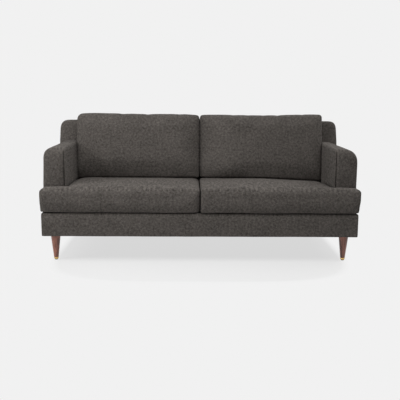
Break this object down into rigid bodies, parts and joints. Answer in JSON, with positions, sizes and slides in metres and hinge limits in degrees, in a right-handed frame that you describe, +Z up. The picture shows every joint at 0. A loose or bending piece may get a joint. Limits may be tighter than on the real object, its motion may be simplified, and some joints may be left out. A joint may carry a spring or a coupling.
{
  "type": "two-seater sofa",
  "caption": "Upholstered sofa with recessed square arms, T-shaped loose seat cushions wrapping the arm fronts, loose back cushions, a plain base and tapered wooden legs with brass tips.",
  "frame": {"origin": "on the floor, under the middle of the sofa's box", "axes": "+X to the viewer's right across the width, +Y to the rear, +Z up; the seat faces -Y"},
  "size_m": [1.9858, 0.877, 0.8996],
  "materials": {
    "charcoal_cloth": "matt woven upholstery cloth, dark warm grey with a fine mottle",
    "black_lining": "thin black lining cloth",
    "cushion_foam": "open-cell foam",
    "cushion_fibre": "white fibre filling",
    "frame_timber": "plain sawn timber",
    "leg_timber": "satin red-brown stain over straight grain",
    "brass": "satin brass",
    "spring_steel": "drawn steel wire",
    "glide_plastic": "black plastic",
    "webbing": "woven jute webbing"
  },
  "bodies": {
    "sofa_frame": {"arm_cover_left": "charcoal_cloth", "arm_cover_right": "charcoal_cloth", "back_cover": "charcoal_cloth", "base_cover_front": "charcoal_cloth", "base_cover_rear": "charcoal_cloth", "base_cover_left": "charcoal_cloth", "base_cover_right": "charcoal_cloth", "deck_cover": "black_lining", "dust_cover": "black_lining", "front_rail": "frame_timber", "rear_rail": "frame_timber", "side_rail_left": "frame_timber", "side_rail_right": "frame_timber", "centre_rail": "frame_timber", "corner_block_front_left": "frame_timber", "corner_block_front_right": "frame_timber", "corner_block_rear_left": "frame_timber", "corner_block_rear_right": "frame_timber", "arm_panel_left": "frame_timber", "arm_panel_right": "frame_timber", "arm_front_post_left": "frame_timber", "arm_front_post_right": "frame_timber", "arm_top_rail_left": "frame_timber", "arm_top_rail_right": "frame_timber", "back_post_left": "frame_timber", "back_post_right": "frame_timber", "back_top_rail": "frame_timber", "back_lower_rail": "frame_timber", "back_web_1": "webbing", "back_web_2": "webbing", "seat_spring_1": "spring_steel", "seat_spring_2": "spring_steel", "seat_spring_3": "spring_steel", "seat_spring_4": "spring_steel", "seat_spring_5": "spring_steel", "seat_spring_6": "spring_steel", "leg_front_left": "leg_timber", "leg_front_right": "leg_timber", "leg_rear_left": "leg_timber", "leg_rear_right": "leg_timber", "leg_ferrule_front_left": "brass", "leg_ferrule_front_right": "brass", "leg_ferrule_rear_left": "brass", "leg_ferrule_rear_right": "brass", "leg_glide_front_left": "glide_plastic", "leg_glide_front_right": "glide_plastic", "leg_glide_rear_left": "glide_plastic", "leg_glide_rear_right": "glide_plastic", "leg_bolt_front_left": "spring_steel", "leg_bolt_front_right": "spring_steel", "leg_bolt_rear_left": "spring_steel", "leg_bolt_rear_right": "spring_steel"},
    "seat_cushion_left": {"seat_cushion_cover_left": "charcoal_cloth", "seat_cushion_foam_left": "cushion_foam"},
    "seat_cushion_right": {"seat_cushion_cover_right": "charcoal_cloth", "seat_cushion_foam_right": "cushion_foam"},
    "back_cushion_left": {"back_cushion_cover_left": "charcoal_cloth", "back_cushion_fill_left": "cushion_fibre"},
    "back_cushion_right": {"back_cushion_cover_right": "charcoal_cloth", "back_cushion_fill_right": "cushion_fibre"}
  },
  "joints": [
    {"name": "seat_pull_left", "type": "slide", "parent": "sofa_frame", "child": "seat_cushion_left", "axis": [0, -1, 0], "range_m": [0, 0.6]},
    {"name": "seat_pull_right", "type": "slide", "parent": "sofa_frame", "child": "seat_cushion_right", "axis": [0, -1, 0], "range_m": [0, 0.6]},
    {"name": "back_lift_left", "type": "slide", "parent": "sofa_frame", "child": "back_cushion_left", "axis": [0, 0.1253, 0.9921], "range_m": [0, 0.4]},
    {"name": "back_lift_right", "type": "slide", "parent": "sofa_frame", "child": "back_cushion_right", "axis": [0, 0.1253, 0.9921], "range_m": [0, 0.4]}
  ]
}
